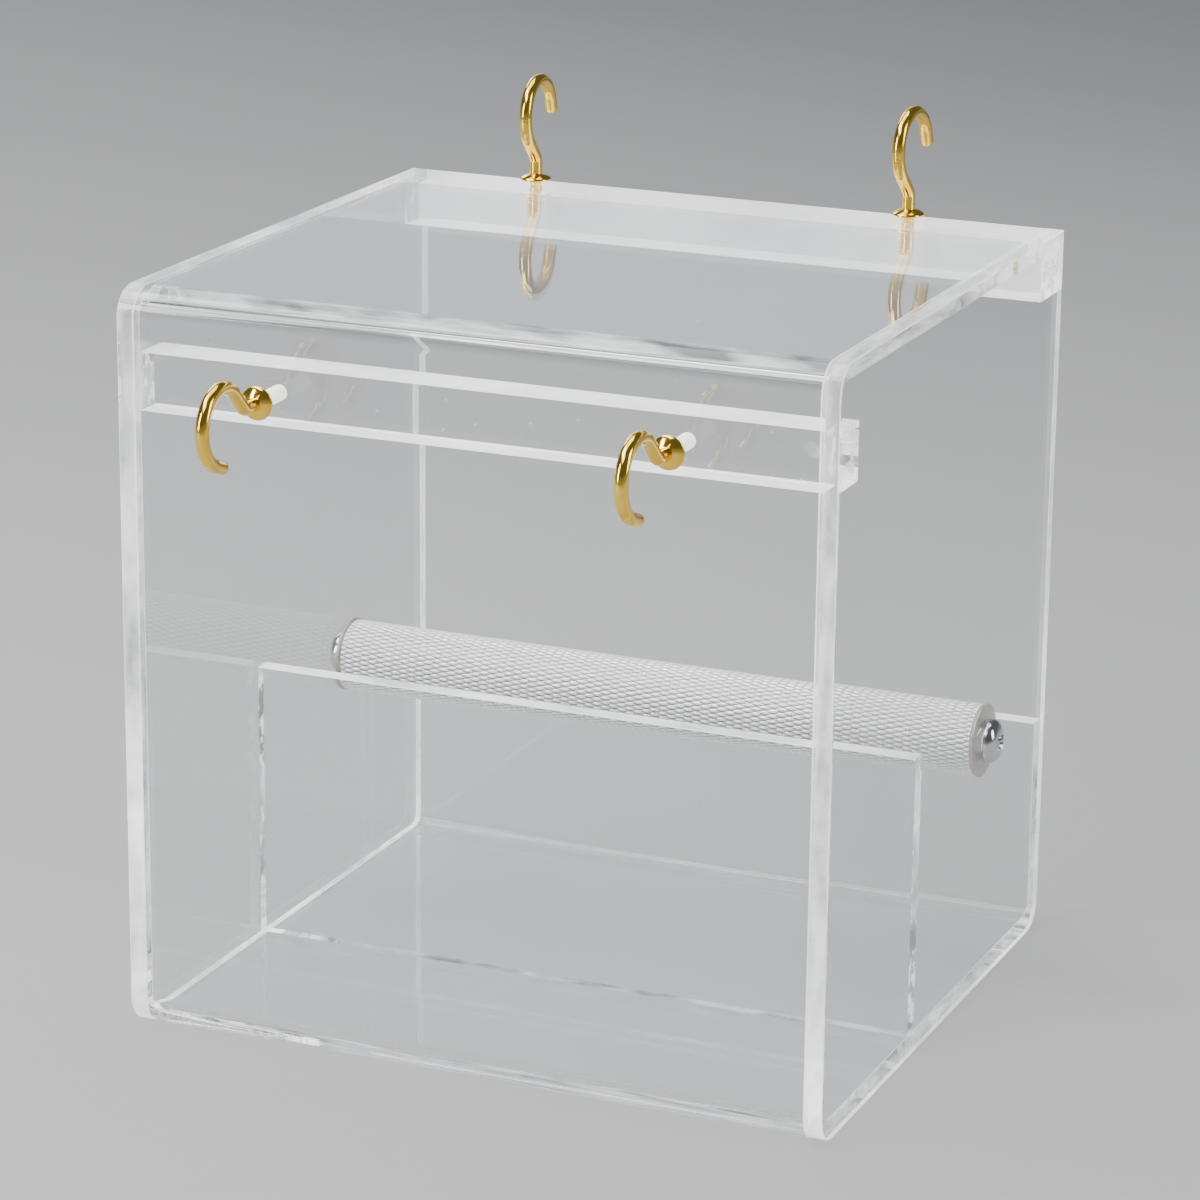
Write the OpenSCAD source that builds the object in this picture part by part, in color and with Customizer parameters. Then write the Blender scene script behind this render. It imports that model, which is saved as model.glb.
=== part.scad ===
// Clear feeder box for a cage bird: one bent sheet between two side panels, a food divider,
// a knurled perch and four brass screw hooks, two on the top and two on the front.
// Millimetres. The origin is the centre of the base's underside. +Z is up, the front faces -Y.

/* [Box] */
// Overall width, over both side panels
box_w = 160; // [130:1:200]
// Overall depth, from the front face to the rear edge
box_d = 142; // [120:1:180]
// Overall height, from the underside to the top face
box_h = 164; // [140:1:220]
// Thickness of every acrylic sheet
sheet_t = 4; // [3:0.5:5]
// Outer radius of the shell's bends and of the side panels' matching corners
bend_r = 6.5; // [5.5:0.5:10]
// Height of the rear lip above the underside
lip_h = 50; // [30:1:60]

/* [Divider] */
// Height of the divider's top edge above the underside
divider_top = 67; // [40:1:80]
// Distance from the front face to the divider's front side
divider_set = 55; // [30:1:65]

/* [Hook bars] */
// Thin side of both hook bars
bar_thin = 10; // [9:0.5:14]
// Wide side of both hook bars
bar_wide = 12.5; // [10:0.5:16]
// Distance from the top face to the front hook bar's axis
front_bar_drop = 19.95; // [16:0.05:40]

/* [Perch] */
// Outer diameter of the perch's knurling
perch_d = 16; // [14:0.5:20]
// Outer diameter of the plain rim at each end of the perch
rim_d = 16.5; // [14:0.5:20]
// Distance from the front face to the perch's axis
perch_set = 101.5; // [85:0.5:108]
// Height of the perch's axis above the underside
perch_z = 57; // [30:1:100]
// Thread diameter of the perch's screws
screw_d = 5; // [4:1:6]
// Head diameter of the perch's screws
head_d = 9.8; // [8:0.1:14]
// Head height of the perch's screws
head_h = 3.1; // [2.8:0.1:5]

/* [Hooks] */
// Distance between the two hooks of a pair
hook_pitch = 91; // [50:1:100]
// Diameter of the hooks' wire
wire_d = 2.9; // [2.4:0.1:3.2]
// Radius of the open loop's centre line
loop_r = 8; // [7:0.5:11]
// Radius of the bend between the shank and the loop
neck_r = 2; // [1.8:0.1:6]
// Angle that the neck leans away from the shank
lean = 45; // [35:1:60]
// Straight length between the neck's bend and the loop
neck_len = 5.2; // [2:0.1:6]
// Sweep of the open loop, from the neck to the straight tip
loop_sweep = 205; // [180:5:230]
// Length of the straight tip
tip_len = 3.6; // [1:0.1:5]
// Shank length between the top face and the neck of a top hook
top_rise = 5.6; // [4:0.1:8]
// Shank length between the front face and the neck of a front hook
front_rise = 8.4; // [6:0.1:9]
// Gap between the top face and a top hook's collar
top_gap = 1.4; // [0.5:0.1:2]
// Gap between the front face and a front hook's collar
front_gap = 3.4; // [0.5:0.1:4]
// Turn of the left and the right top hook about its own shank
top_turn = [3, -3]; // [-30:1:30]
// Turn of the left and the right front hook about its own shank
front_turn = [0, 0]; // [-30:1:30]

/* [Hidden] */
$fn = 64;

// Running clearance on the radius of every shaft that turns in a hole
run_fit = 0.05;
// Extra length that a cutting solid runs past the face it cuts
over = 1;

// Box
inner_w = box_w - 2 * sheet_t;
front_y = -box_d / 2;
rear_y = box_d / 2;

// Perch
perch_len = inner_w - 2 * run_fit;
perch_y = front_y + perch_set;
rim_w = 1.1;
tap_d = screw_d * 0.84;
tap_depth = 18;
shank_in = 16;
shank_r = screw_d / 2;
recess_w = 1.5;
recess_depth = 2.2;

// Hooks
wire_r = wire_d / 2;
hole_r = wire_r + run_fit;
hole_depth = sheet_t + 7;
shank_depth = hole_depth - 0.5;
tip_chamfer = 0.5;
joint_gap = 0.05;
joint_proud = 0.02;
rear_bar_y = rear_y - bar_wide / 2;
front_bar_z = box_h - front_bar_drop;
collar_r = 3.6;
collar_t = 0.5;
collar_dome = 1.2;
collar_press = 0.05;
collar_ball_r = (collar_r * collar_r + collar_dome * collar_dome) / (2 * collar_dome);

// Turns a solid that points along +Z so that it points along +X
module along_x() {
    rotate([0, 90, 0]) children();
}

// One quarter of the bent sheet's corner, centred on the bend's axis
module bend(from_angle) {
    rotate([0, 0, from_angle]) intersection() {
        difference() {
            circle(r = bend_r);
            circle(r = bend_r - sheet_t);
        }
        square(bend_r);
    }
}

// The bent sheet's end view: base, front, top and rear lip
module shell_profile() {
    translate([front_y + bend_r, 0]) square([box_d - 2 * bend_r, sheet_t]);
    translate([front_y, bend_r]) square([sheet_t, box_h - 2 * bend_r]);
    translate([front_y + bend_r, box_h - sheet_t]) square([box_d - bend_r, sheet_t]);
    translate([rear_y - sheet_t, bend_r]) square([sheet_t, lip_h - bend_r]);
    translate([front_y + bend_r, box_h - bend_r]) bend(90);
    translate([front_y + bend_r, bend_r]) bend(180);
    translate([rear_y - bend_r, bend_r]) bend(270);
}

// The corner left over outside a bend, cut off the side panels
module corner_waste(from_angle) {
    rotate([0, 0, from_angle]) difference() {
        square(bend_r + over);
        circle(r = bend_r);
    }
}

// A side panel's outline: the shell's outer outline with the open rear filled in
module panel_profile() {
    difference() {
        translate([front_y, 0]) square([box_d, box_h]);
        translate([front_y + bend_r, box_h - bend_r]) corner_waste(90);
        translate([front_y + bend_r, bend_r]) corner_waste(180);
        translate([rear_y - bend_r, bend_r]) corner_waste(270);
    }
}

// Stands a profile drawn in Y and Z upright and gives it a thickness along X
module upright(from_x, thickness) {
    translate([from_x, 0, 0]) rotate([90, 0, 90]) linear_extrude(thickness) children();
}

// Places its children at a top hook: the shank's hole opens at the local origin, upwards
module at_top_hook(side) {
    translate([side * hook_pitch / 2, rear_bar_y, box_h]) children();
}

// Places its children at a front hook: local +Z points out of the front face
module at_front_hook(side) {
    translate([side * hook_pitch / 2, front_y, front_bar_z]) rotate([90, 0, 0]) children();
}

// Blind hole for a hook's shank, through the sheet and into the bar
module hook_hole() {
    translate([0, 0, -hole_depth]) cylinder(r = hole_r, h = hole_depth + over);
}

module wrap_shell() {
    color([0.93, 0.95, 0.96, 0.35]) difference() {
        upright(-inner_w / 2, inner_w) shell_profile();
        for (side = [-1, 1]) {
            at_top_hook(side) hook_hole();
            at_front_hook(side) hook_hole();
        }
    }
}

// One side panel, starting at from_x, with the hole for its perch screw
module side_panel(from_x) {
    color([0.93, 0.95, 0.96, 0.35]) difference() {
        upright(from_x, sheet_t) panel_profile();
        translate([from_x - over, perch_y, perch_z]) along_x()
            cylinder(r = shank_r + run_fit, h = sheet_t + 2 * over);
    }
}

module left_side_panel() {
    side_panel(-box_w / 2);
}

module right_side_panel() {
    side_panel(inner_w / 2);
}

module food_divider() {
    color([0.93, 0.95, 0.96, 0.35])
        translate([-inner_w / 2, front_y + divider_set, sheet_t])
        cube([inner_w, sheet_t, divider_top - sheet_t]);
}

module front_hook_bar() {
    color([0.93, 0.95, 0.96, 0.35]) difference() {
        translate([-inner_w / 2, front_y + sheet_t, front_bar_z - bar_wide / 2])
            cube([inner_w, bar_thin, bar_wide]);
        for (side = [-1, 1]) at_front_hook(side) hook_hole();
    }
}

module rear_hook_bar() {
    color([0.93, 0.95, 0.96, 0.35]) difference() {
        translate([-inner_w / 2, rear_y - bar_wide, box_h - sheet_t - bar_thin])
            cube([inner_w, bar_wide, bar_thin]);
        for (side = [-1, 1]) at_top_hook(side) hook_hole();
    }
}

// Places its children on the perch's axis at x, pointing outwards on the given side
module on_perch(side, x) {
    translate([side * x, perch_y, perch_z]) rotate([0, side * 90, 0]) children();
}

module perch_rod() {
    color([0.86, 0.87, 0.88]) difference() {
        union() {
            translate([-perch_len / 2, perch_y, perch_z]) along_x()
                cylinder(d = perch_d, h = perch_len);
            for (side = [-1, 1]) on_perch(side, perch_len / 2 - rim_w) cylinder(d = rim_d, h = rim_w);
        }
        for (side = [-1, 1]) {
            on_perch(side, perch_len / 2 - tap_depth) cylinder(d = tap_d, h = tap_depth + over);
        }
    }
}

// The low dome of a pan head: a ball's cap on a short straight side
module pan_head() {
    side_h = head_h * 0.45;
    cap_h = head_h - side_h;
    cap_r = (head_d * head_d / 4 + cap_h * cap_h) / (2 * cap_h);
    cylinder(d = head_d, h = side_h);
    intersection() {
        translate([0, 0, head_h - cap_r]) sphere(r = cap_r);
        cylinder(d = head_d, h = head_h);
    }
}

// Pan head machine screw with a cross recess, head outside the side panel
module perch_screw(side) {
    shank_len = shank_in + sheet_t + 2 * run_fit;
    color([0.80, 0.81, 0.83]) on_perch(side, box_w / 2 + run_fit) difference() {
        union() {
            pan_head();
            translate([0, 0, -shank_len]) cylinder(r = shank_r, h = shank_len);
        }
        for (turn = [0, 90]) {
            rotate([0, 0, turn]) translate([-head_d * 0.27, -recess_w / 2, head_h - recess_depth])
                cube([head_d * 0.54, recess_w, recess_depth + over]);
        }
    }
}

module perch_screw_left() {
    perch_screw(-1);
}

module perch_screw_right() {
    perch_screw(1);
}

// Bent stretch of wire in the XY plane: an arc about the local origin, ending just short of its joints
module wire_arc(radius, from_angle, sweep) {
    trim = joint_gap / radius * 180 / PI;
    rotate([0, 0, from_angle + trim]) rotate_extrude(angle = sweep - 2 * trim)
        translate([radius, 0]) circle(r = wire_r);
}

// Straight stretch of wire along +Y from the local origin, ending just short of its joints
module wire_run(length) {
    translate([0, joint_gap]) rotate([-90, 0, 0]) cylinder(r = wire_r, h = length - 2 * joint_gap);
}

// Shank along +Y with a chamfered end, from -shank_depth to just short of rise
module hook_shank(rise) {
    rotate([-90, 0, 0]) rotate_extrude() polygon([
        [0, -shank_depth],
        [wire_r - tip_chamfer, -shank_depth],
        [wire_r, tip_chamfer - shank_depth],
        [wire_r, rise - joint_gap],
        [0, rise - joint_gap]
    ]);
}

// Ball that joins two stretches of wire
module wire_joint(at) {
    translate(at) sphere(r = wire_r + joint_proud);
}

// Open hook in the XY plane: shank up +Y through the origin, loop leaning towards +X
module hook_wire(rise) {
    neck_end = [neck_r * (1 - cos(lean)), rise + neck_r * sin(lean)];
    loop_start = neck_end + neck_len * [sin(lean), cos(lean)];
    loop_centre = loop_start + loop_r * [-cos(lean), sin(lean)];
    tip_angle = loop_sweep - lean;
    loop_end = loop_centre + loop_r * [cos(tip_angle), sin(tip_angle)];
    hook_shank(rise);
    wire_joint([0, rise]);
    translate([neck_r, rise]) wire_arc(neck_r, 180 - lean, lean);
    wire_joint(neck_end);
    translate(neck_end) rotate([0, 0, -lean]) wire_run(neck_len);
    wire_joint(loop_start);
    translate(loop_centre) wire_arc(loop_r, -lean, loop_sweep);
    wire_joint(loop_end);
    translate(loop_end) rotate([0, 0, tip_angle]) wire_run(tip_len);
}

// A hook standing on the top face, its loop leaning towards the front
module top_hook(side, turn) {
    color("gold") at_top_hook(side) rotate([90, 0, turn - 90]) hook_wire(top_rise);
}

// A hook standing out of the front face, its loop leaning upwards
module front_hook(side, turn) {
    color("gold") at_front_hook(side) rotate([90, 0, 90 + turn]) hook_wire(front_rise);
}

module top_hook_left() {
    top_hook(-1, top_turn[0]);
}

module top_hook_right() {
    top_hook(1, top_turn[1]);
}

module front_hook_left() {
    front_hook(-1, front_turn[0]);
}

module front_hook_right() {
    front_hook(1, front_turn[1]);
}

// Thin domed collar around the shank, its rim towards the sheet, gap above the local origin
module collar(gap) {
    rim_drop = collar_ball_r - collar_dome;
    color("gold") translate([0, 0, gap]) difference() {
        intersection() {
            translate([0, 0, collar_t - rim_drop]) sphere(r = collar_ball_r);
            cylinder(r = collar_r, h = collar_t + collar_dome);
        }
        translate([0, 0, -rim_drop]) sphere(r = collar_ball_r);
        translate([0, 0, -over]) cylinder(r = wire_r - collar_press, h = 2 * over + collar_t + collar_dome);
    }
}

module top_hook_collar_left() {
    at_top_hook(-1) collar(top_gap);
}

module top_hook_collar_right() {
    at_top_hook(1) collar(top_gap);
}

module front_hook_collar_left() {
    at_front_hook(-1) collar(front_gap);
}

module front_hook_collar_right() {
    at_front_hook(1) collar(front_gap);
}

wrap_shell();
left_side_panel();
right_side_panel();
food_divider();
front_hook_bar();
rear_hook_bar();
perch_rod();
perch_screw_left();
perch_screw_right();
top_hook_left();
top_hook_right();
front_hook_left();
front_hook_right();
top_hook_collar_left();
top_hook_collar_right();
front_hook_collar_left();
front_hook_collar_right();
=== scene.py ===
"""Looks of a clear acrylic feeder box with a knurled perch and brass hooks, built round the CAD frame.

Every length is in metres and every place comes from the CAD nodes' boxes. The acrylic pieces are closed
solids that meet face to face: the faces that are glued together let light pass straight through, so the
joined sheets bend light as one body, as solvent-bonded acrylic does.
"""

import math

import bmesh
import bpy
from mathutils import Matrix, Vector


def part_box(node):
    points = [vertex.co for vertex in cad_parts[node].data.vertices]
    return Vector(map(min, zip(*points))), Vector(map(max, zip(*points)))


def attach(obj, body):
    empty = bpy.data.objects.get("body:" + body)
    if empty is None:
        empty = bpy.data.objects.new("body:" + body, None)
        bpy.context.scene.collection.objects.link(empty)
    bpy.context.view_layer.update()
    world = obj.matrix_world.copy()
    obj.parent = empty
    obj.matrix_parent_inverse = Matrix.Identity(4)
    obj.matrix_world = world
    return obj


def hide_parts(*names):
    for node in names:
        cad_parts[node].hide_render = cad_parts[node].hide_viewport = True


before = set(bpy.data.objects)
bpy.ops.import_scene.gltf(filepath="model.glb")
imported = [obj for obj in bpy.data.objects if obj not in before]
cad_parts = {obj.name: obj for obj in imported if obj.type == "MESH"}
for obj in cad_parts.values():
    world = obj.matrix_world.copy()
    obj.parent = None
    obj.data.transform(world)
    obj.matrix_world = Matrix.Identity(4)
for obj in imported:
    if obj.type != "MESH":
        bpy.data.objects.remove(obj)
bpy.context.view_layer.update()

MM = 0.001
SIDES = {"left": -1, "right": 1}

# ---------------------------------------------------------------- sizes read from the frame

SHELL_LO, SHELL_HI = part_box("wrap_shell")
PANEL_LO, PANEL_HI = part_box("right_side_panel")
DIVIDER_LO, DIVIDER_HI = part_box("food_divider")
FRONT_BAR_LO, FRONT_BAR_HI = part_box("front_hook_bar")
REAR_BAR_LO, REAR_BAR_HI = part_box("rear_hook_bar")
ROD_LO, ROD_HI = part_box("perch_rod")

SHEET_T = PANEL_HI.x - PANEL_LO.x
KNURL_DEPTH = 0.32 * MM
RIM_W = 1.1 * MM
CREST_R = (ROD_HI.z - ROD_LO.z) / 2 - 0.25 * MM
SCREW_R = 2.5 * MM
BEND_R = 6.5 * MM
LIP_TOP = 50 * MM
JOINT_CHAMFER = 0.1 * MM
FREE_CHAMFER = 0.25 * MM
ARC_STEPS = 14
ARC_SUPPORT = 0.4 * MM
WELD_GAP = 0.003 * MM

# ---------------------------------------------------------------- shader helpers


class Nodes:
    """Builds the node tree of one material, or of the world, with short calls."""

    def __init__(self, name, kind="materials"):
        self.owner = getattr(bpy.data, kind).new(name)
        self.owner.use_nodes = True
        self.tree = self.owner.node_tree
        self.tree.nodes.clear()

    def add(self, kind, inputs=None, **settings):
        node = self.tree.nodes.new(kind)
        for key, value in settings.items():
            setattr(node, key, value)
        for key, value in (inputs or {}).items():
            if isinstance(value, bpy.types.NodeSocket):
                self.tree.links.new(value, node.inputs[key])
            else:
                node.inputs[key].default_value = value
        return node

    def math(self, operation, *values, clamp=False):
        node = self.add("ShaderNodeMath", operation=operation, use_clamp=clamp)
        for socket, value in zip(node.inputs, values, strict=False):
            if isinstance(value, bpy.types.NodeSocket):
                self.tree.links.new(value, socket)
            else:
                socket.default_value = value
        return node.outputs[0]

    def position(self, scale=(1, 1, 1), rotation=(0, 0, 0)):
        coords = self.add("ShaderNodeTexCoord").outputs["Object"]
        mapping = self.add("ShaderNodeMapping", {"Vector": coords, "Scale": scale, "Rotation": rotation})
        return mapping.outputs[0]

    def noise(self, scale, detail=3.0, stretch=(1, 1, 1), roughness=0.5):
        inputs = {"Vector": self.position(stretch), "Scale": scale, "Detail": detail, "Roughness": roughness}
        return self.add("ShaderNodeTexNoise", inputs).outputs["Fac"]

    def ramp(self, value, low, high, out_low=0.0, out_high=1.0):
        inputs = {"Value": value, "From Min": low, "From Max": high, "To Min": out_low, "To Max": out_high}
        return self.add("ShaderNodeMapRange", inputs).outputs[0]

    def blend_colour(self, fac, one, two):
        node = self.add("ShaderNodeMix", {"Factor": fac}, data_type="RGBA")
        node.inputs[6].default_value = (*one, 1)
        node.inputs[7].default_value = (*two, 1)
        return node.outputs[2]

    def bump(self, height, strength, distance):
        inputs = {"Height": height, "Strength": strength, "Distance": distance}
        return self.add("ShaderNodeBump", inputs).outputs[0]

    def mix(self, fac, one, two):
        return self.add("ShaderNodeMixShader", {0: fac, 1: one, 2: two}).outputs[0]

    def transparent(self, level):
        return self.add("ShaderNodeBsdfTransparent", {"Color": (level, level, level, 1)}).outputs[0]

    def soft_step(self, value, limits):
        names = ("Value", "From Min", "From Max", "To Min", "To Max")
        inputs = dict(zip(names, (value, *limits), strict=True))
        return self.add("ShaderNodeMapRange", inputs, interpolation_type="SMOOTHERSTEP").outputs[0]

    def finish(self, surface):
        self.add("ShaderNodeOutputMaterial", {"Surface": surface})
        return self.owner


def lamp_light(nodes, surface, level):
    """Lets lamp light and bounced light pass as through thin clear sheet, so what is inside is lit."""
    path = nodes.add("ShaderNodeLightPath")
    soft = nodes.math("MAXIMUM", path.outputs["Is Shadow Ray"], path.outputs["Is Diffuse Ray"])
    return nodes.mix(soft, surface, nodes.transparent(level))


DEPTH_LIMITS = {"Glossy Depth": 3.5, "Ray Depth": 9.5, "Transparent Depth": 6.5}


def trapped_light(nodes, surface):
    """Where a path has passed the depth limits, the surface shows an even pale painted glow in place of the
    light reflected many times inside the sheet.
    """
    path = nodes.add("ShaderNodeLightPath")
    trapped = 0.0
    for depth, limit in DEPTH_LIMITS.items():
        past = nodes.math("GREATER_THAN", path.outputs[depth], limit)
        trapped = nodes.math("MAXIMUM", trapped, past)
    shade = nodes.ramp(nodes.noise(70, 2), 0.35, 0.65, 0.35, 1.5)
    # painted glow standing in for the light cut off by the depth limits
    glow = nodes.add("ShaderNodeEmission", {"Color": (0.95, 0.97, 1, 1), "Strength": shade}).outputs[0]
    return nodes.mix(trapped, surface, glow)


def specks(nodes, cell, size, share):
    """1 inside scattered small round specks, else 0. A share of the cells holds one."""
    inputs = {"Vector": nodes.position(), "Scale": 1 / cell}
    voronoi = nodes.add("ShaderNodeTexVoronoi", inputs)
    near = nodes.math("LESS_THAN", voronoi.outputs["Distance"], size / cell)
    luck = nodes.add("ShaderNodeSeparateColor", {0: voronoi.outputs["Color"]}).outputs[0]
    return nodes.math("MULTIPLY", near, nodes.math("LESS_THAN", luck, share))


# ---------------------------------------------------------------- materials

ACRYLIC_IOR = 1.49
ACRYLIC_TINT = (0.985, 0.992, 0.995, 1)


def polished_acrylic():
    """Clear sheet face: faint hairline scratches, a little dust and specks."""
    n = Nodes("acrylic_polished")
    scratch = n.noise(900, 2, (1, 1, 14))
    hair = n.ramp(scratch, 0.68, 0.74)
    wave = n.noise(9, 1)
    normal = n.bump(wave, 0.02, 0.002)
    glass = n.add("ShaderNodeBsdfPrincipled", {
        "Base Color": ACRYLIC_TINT,
        "Roughness": n.ramp(hair, 0, 1, 0.0, 0.06),
        "IOR": ACRYLIC_IOR,
        "Transmission Weight": 1.0,
        "Normal": normal,
    }).outputs[0]
    dust = n.add("ShaderNodeBsdfDiffuse", {"Color": (0.95, 0.95, 0.96, 1)}).outputs[0]
    speck = n.math("MAXIMUM", specks(n, 5.5 * MM, 0.16 * MM, 0.5), specks(n, 13 * MM, 0.28 * MM, 0.35))
    film = n.ramp(n.noise(40, 4), 0.45, 0.9, 0.0, 0.02)
    surface = n.mix(n.math("MAXIMUM", n.math("MULTIPLY", speck, 0.55), film), glass, dust)
    return n.finish(trapped_light(n, lamp_light(n, surface, 0.97)))


def cut_acrylic():
    """Sawn and flame-polished edge with fine saw lines: white with a painted glow along its length, clearer
    in places, with painted highlight lines along its borders.
    """
    n = Nodes("acrylic_cut_edge")
    along = n.noise(260, 3)
    patches = n.noise(30, 3)
    saw_lines = n.noise(1400, 2)
    glass = n.add("ShaderNodeBsdfPrincipled", {
        "Base Color": (0.97, 0.98, 0.985, 1),
        "Roughness": n.ramp(along, 0.3, 0.7, 0.03, 0.12),
        "IOR": ACRYLIC_IOR,
        "Transmission Weight": 1.0,
        "Normal": n.bump(saw_lines, 0.12, 0.0001),
    }).outputs[0]
    # frosted white with a painted glow (emission)
    white = n.add("ShaderNodeBsdfPrincipled", {
        "Base Color": (0.97, 0.975, 0.98, 1),
        "Roughness": 0.3,
        "Emission Color": (1, 1, 1, 1),
        "Emission Strength": n.ramp(patches, 0.3, 0.7, 0.9, 2.1),
    }).outputs[0]
    axes = n.add("ShaderNodeSeparateXYZ", {0: n.position()})
    # painted highlight lines along the edge's two borders
    off_middle = n.math("SUBTRACT", n.math("ABSOLUTE", axes.outputs[0]), (PANEL_LO.x + PANEL_HI.x) / 2)
    painted_border_highlight = n.ramp(n.math("ABSOLUTE", off_middle), 0.42 * SHEET_T, 0.46 * SHEET_T, 0.0, 0.65)
    # the painted border highlights are dimmer on upward faces seen from outside
    geometry = n.add("ShaderNodeNewGeometry")
    upward = n.add("ShaderNodeSeparateXYZ", {0: geometry.outputs["Normal"]}).outputs[2]
    from_outside = n.math("SUBTRACT", 1.0, geometry.outputs["Backfacing"])
    top_seen = n.math("MULTIPLY", from_outside, n.ramp(upward, 0.6, 0.9))
    painted_border_highlight = n.math("MULTIPLY", painted_border_highlight, n.ramp(top_seen, 0, 1, 1.0, 0.6))
    # the painted glow fades higher up
    low_down = n.ramp(axes.outputs[2], 60 * MM, 95 * MM, 1.0, 0.45)
    # frost with painted glow, in patches
    frost_and_glow = n.ramp(n.math("ADD", patches, n.math("MULTIPLY", along, 0.35)), 0.45, 0.85, 0.22, 0.75)
    frost_and_glow = n.math("MULTIPLY", frost_and_glow, low_down)
    surface = n.mix(n.math("MAXIMUM", frost_and_glow, painted_border_highlight), glass, white)
    return n.finish(trapped_light(n, lamp_light(n, surface, 0.88)))


def glued_acrylic():
    """Bonded face: light passes straight through, apart from a few tiny bubbles caught in the seam and glue
    smears near the ends, white with a faint painted glow.
    """
    n = Nodes("acrylic_glued_face")
    bubble = n.math("MAXIMUM", specks(n, 3.2 * MM, 0.3 * MM, 0.4), specks(n, 1.1 * MM, 0.12 * MM, 0.2))
    near_end = n.math("ABSOLUTE", n.add("ShaderNodeSeparateXYZ", {0: n.position()}).outputs[0])
    smear_room = n.ramp(near_end, SHELL_HI.x - 5 * MM, SHELL_HI.x - 1 * MM)
    smear = n.math("MULTIPLY", n.ramp(n.noise(260, 3), 0.50, 0.60, 0.0, 0.8), smear_room)
    # white of the bubbles and smears, with a faint painted glow (emission)
    white = n.add("ShaderNodeBsdfPrincipled", {
        "Base Color": (0.95, 0.95, 0.95, 1),
        "Roughness": 0.5,
        "Emission Color": (1, 1, 1, 1),
        "Emission Strength": 0.35,
    }).outputs[0]
    caught = n.math("MAXIMUM", n.math("MULTIPLY", bubble, 0.8), smear)
    return n.finish(trapped_light(n, n.mix(caught, n.transparent(1.0), white)))


def bonded_acrylic():
    """The other half of a bonded face: nothing to see, light passes straight through."""
    n = Nodes("acrylic_bonded_face")
    haze = n.ramp(n.noise(120, 2), 0.2, 0.8, 0.0, 0.01)
    white = n.add("ShaderNodeBsdfDiffuse", {"Color": (0.9, 0.9, 0.9, 1)}).outputs[0]
    return n.finish(trapped_light(n, n.mix(haze, n.transparent(1.0), white)))


def tapped_acrylic(name, clear):
    """Wall of a tapped or drilled hole, frosted white by the cutter, with a painted glow.
    clear is the share of light that it lets through."""
    n = Nodes(name)
    grain = n.noise(2500, 3)
    white = n.add("ShaderNodeBsdfPrincipled", {
        "Base Color": n.blend_colour(grain, (0.86, 0.85, 0.83), (1, 1, 1)),
        "Roughness": 0.55,
        "Normal": n.bump(grain, 0.4, 0.00008),
        "Emission Color": (1, 1, 1, 1),
        # painted glow: the frosted wall shines white whatever light reaches it
        "Emission Strength": n.ramp(grain, 0.3, 0.7, 1.0, 2.0),
    }).outputs[0]
    return n.finish(n.mix(clear, white, n.transparent(0.95)))


def brass():
    """Polished brass plate: warm, with fine drawing lines and a few darker patches."""
    n = Nodes("polished_brass")
    tone = n.noise(220, 4)
    lines = n.noise(1800, 3)
    return n.finish(n.add("ShaderNodeBsdfPrincipled", {
        "Base Color": n.blend_colour(n.ramp(tone, 0.3, 0.75), (1.0, 0.69, 0.11), (0.90, 0.53, 0.06)),
        "Metallic": 1.0,
        "Roughness": n.ramp(tone, 0.3, 0.8, 0.10, 0.19),
        "Normal": n.bump(lines, 0.10, 0.00006),
    }).outputs[0])


def plated_steel():
    """Bright plated screw steel with light handling marks."""
    n = Nodes("plated_steel")
    tone = n.noise(350, 4)
    return n.finish(n.add("ShaderNodeBsdfPrincipled", {
        "Base Color": n.blend_colour(tone, (0.50, 0.50, 0.52), (0.78, 0.78, 0.80)),
        "Metallic": 1.0,
        "Roughness": n.ramp(n.noise(700, 3), 0.3, 0.7, 0.06, 0.20),
        "Normal": n.bump(n.noise(2200, 2), 0.08, 0.00005),
    }).outputs[0])


def knurled_aluminium():
    """Satin aluminium with faint turning marks: painted light on the knurl's crests, bright with a faint
    glow, and painted shade in its grooves and on the end rims.
    """
    n = Nodes("knurled_aluminium")
    tone = n.noise(500, 3)
    turned = n.noise(260, 2, (12, 1, 1))
    middle = (ROD_LO + ROD_HI) / 2
    axes = n.add("ShaderNodeSeparateXYZ", {0: n.position()})
    across = n.math("SUBTRACT", axes.outputs[1], middle.y)
    up = n.math("SUBTRACT", axes.outputs[2], middle.z)
    radius = n.math("SQRT", n.math("ADD", n.math("MULTIPLY", across, across), n.math("MULTIPLY", up, up)))
    painted_crest_light = n.ramp(radius, CREST_R - 0.95 * KNURL_DEPTH, CREST_R - 0.3 * KNURL_DEPTH)
    # painted light and shade: bright crests, dark grooves
    shade = n.add("ShaderNodeMix", {
        "Factor": painted_crest_light,
        6: n.blend_colour(tone, (0.15, 0.15, 0.15), (0.26, 0.26, 0.26)),
        7: n.blend_colour(tone, (0.96, 0.96, 0.96), (1.0, 1.0, 1.0)),
    }, data_type="RGBA").outputs[2]
    sideways = n.math("ABSOLUTE", axes.outputs[0])
    end_zone = n.ramp(sideways, ROD_HI.x - RIM_W - 0.1 * MM, ROD_HI.x - RIM_W + 0.1 * MM)
    # painted shade: the plain end rims are a darker brownish grey
    rim = n.blend_colour(tone, (0.30, 0.26, 0.22), (0.52, 0.48, 0.44))
    colour = n.add("ShaderNodeMix", {"Factor": end_zone, 6: shade, 7: rim}, data_type="RGBA").outputs[2]
    return n.finish(n.add("ShaderNodeBsdfPrincipled", {
        "Base Color": colour,
        "Metallic": 0.5,
        "Emission Color": (1, 1, 1, 1),
        # painted glow on the crests, none on the end rims
        "Emission Strength": n.math("MULTIPLY", painted_crest_light, n.ramp(end_zone, 0, 1, 0.22, 0.0)),
        "Roughness": n.ramp(turned, 0.3, 0.7, 0.25, 0.40),
        "Normal": n.bump(turned, 0.12, 0.00005),
    }).outputs[0])


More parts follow.
